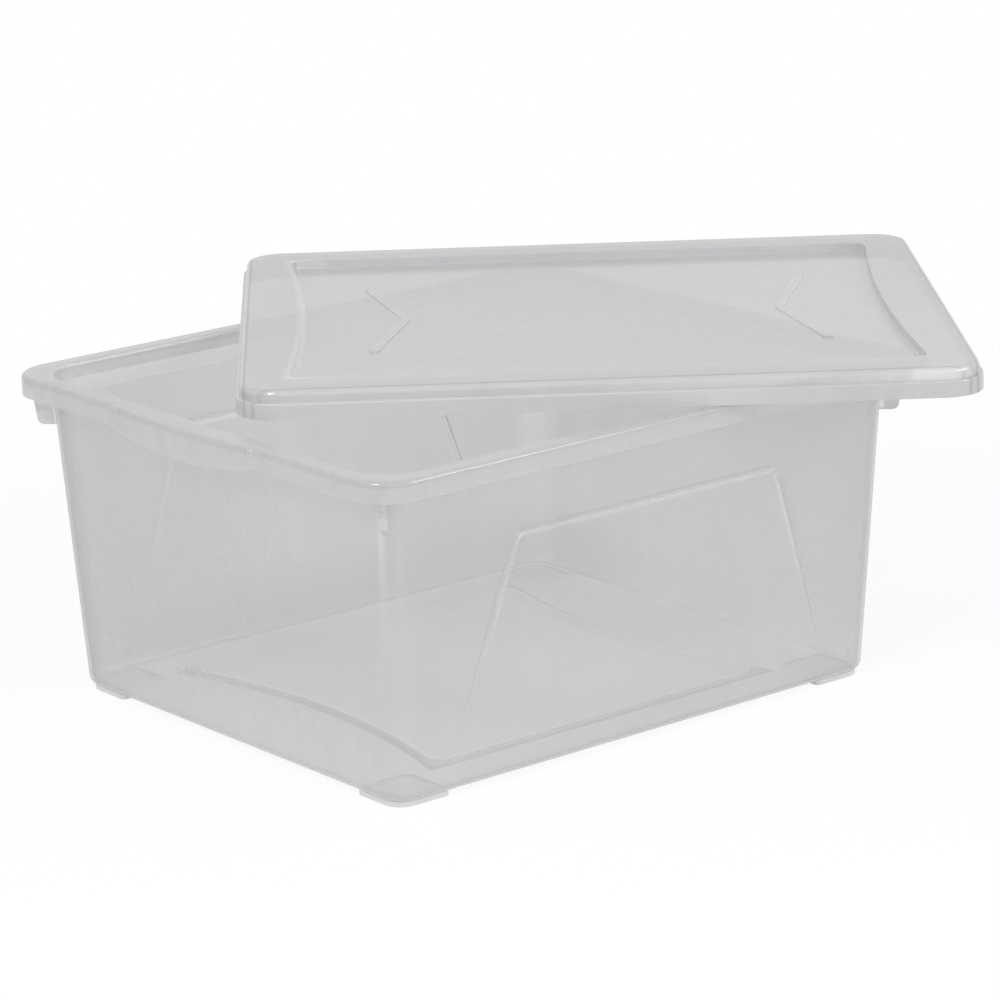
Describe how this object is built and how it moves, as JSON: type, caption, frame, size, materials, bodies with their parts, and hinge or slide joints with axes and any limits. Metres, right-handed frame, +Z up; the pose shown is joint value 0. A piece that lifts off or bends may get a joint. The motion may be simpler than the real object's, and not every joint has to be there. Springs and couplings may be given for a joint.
{
  "type": "clear plastic storage box with lid",
  "caption": "Clear moulded plastic storage tub with bowed lifting lips, a turned-down rim and a separate lid laid askew across the rim.",
  "frame": {"origin": "on the table, in the plane of the tub's four feet, under the middle of the box that holds tub and lid as they lie", "axes": "+X along the tub's length, +Y across it, +Z up towards the open rim"},
  "size_m": [0.5645, 0.5124, 0.2065],
  "materials": {
    "clear_tub": "clear moulded plastic, faint grey",
    "clear_lid": "clear moulded plastic, faint grey"
  },
  "bodies": {
    "tub": {"tub": "clear_tub"},
    "lid": {"lid": "clear_lid"}
  },
  "joints": [
    {"name": "lid_lift", "type": "slide", "parent": "tub", "child": "lid", "axis": [0, 0, 1], "range_m": [0, 0.2]}
  ]
}
